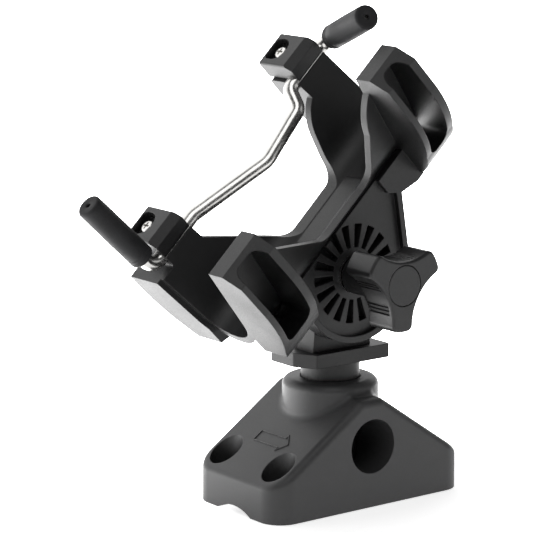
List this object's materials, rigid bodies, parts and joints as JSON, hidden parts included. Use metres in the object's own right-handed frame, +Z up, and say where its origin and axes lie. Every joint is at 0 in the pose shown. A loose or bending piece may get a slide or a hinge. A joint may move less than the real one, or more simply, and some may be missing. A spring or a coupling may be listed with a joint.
{
  "type": "rod holder",
  "caption": "Deck-mounted fishing rod holder: screw-down base, swivel post, tilting open cradle clamped by a lobed knob, and a swing-over bail with rubber grips",
  "frame": {"origin": "centre of the base's bottom face, on the deck", "axes": "+Z up, +X along the base towards the raised front of the cradle, -Y towards the clamp knob"},
  "size_m": [0.1557, 0.089, 0.2041],
  "materials": {
    "deck_nylon": "fine moulded texture, satin",
    "post_nylon": "fine moulded texture, satin",
    "cradle_nylon": "fine moulded texture, satin",
    "knob_nylon": "fine moulded texture, satin",
    "grip_rubber": "dull, soft",
    "disc_polymer": "smooth",
    "stainless": "drawn and polished",
    "brass": "turned"
  },
  "bodies": {
    "mount": {"base": "deck_nylon"},
    "ring": {"post_ring": "grip_rubber"},
    "swivel": {"post": "post_nylon", "pivot_bolt": "stainless", "slip_disc": "disc_polymer"},
    "cradle": {"cradle": "cradle_nylon", "back_bail_cap": "cradle_nylon", "back_cap_screw": "stainless", "back_cap_insert": "brass", "front_bail_cap": "cradle_nylon", "front_cap_screw": "stainless", "front_cap_insert": "brass", "thrust_washer": "stainless"},
    "bail": {"bail_rod": "stainless", "back_grip": "grip_rubber", "front_grip": "grip_rubber"},
    "clamp_slide": {"spring_washer": "stainless"},
    "clamp_knob": {"knob": "knob_nylon", "knob_cap": "knob_nylon", "knob_nut": "stainless"}
  },
  "joints": [
    {"name": "post_lift", "type": "slide", "parent": "mount", "child": "ring", "axis": [0, 0, 1], "range_m": [0, 0.042]},
    {"name": "post_turn", "type": "hinge", "parent": "ring", "child": "swivel", "pos_m": [0, 0, 0.03], "axis": [0, 0, 1], "continuous": true},
    {"name": "cradle_tilt", "type": "hinge", "parent": "swivel", "child": "cradle", "pos_m": [0, 0, 0.0955], "axis": [0, -1, 0], "range_deg": [-44, 29]},
    {"name": "bail_swing", "type": "hinge", "parent": "cradle", "child": "bail", "pos_m": [-0.03682, 0.025, 0.13362], "axis": [-0.7193, 0, -0.6947], "range_deg": [-20, 75]},
    {"name": "knob_travel", "type": "slide", "parent": "swivel", "child": "clamp_slide", "axis": [0, -1, 0], "range_m": [0, 0.00254]},
    {"name": "knob_turn", "type": "hinge", "parent": "clamp_slide", "child": "clamp_knob", "pos_m": [0, 0, 0.0955], "axis": [0, -1, 0], "range_deg": [0, 720]}
  ],
  "couplings": [
    {"joint": "knob_travel", "follows": "knob_turn", "m_per_rad": 0.00020213}
  ]
}
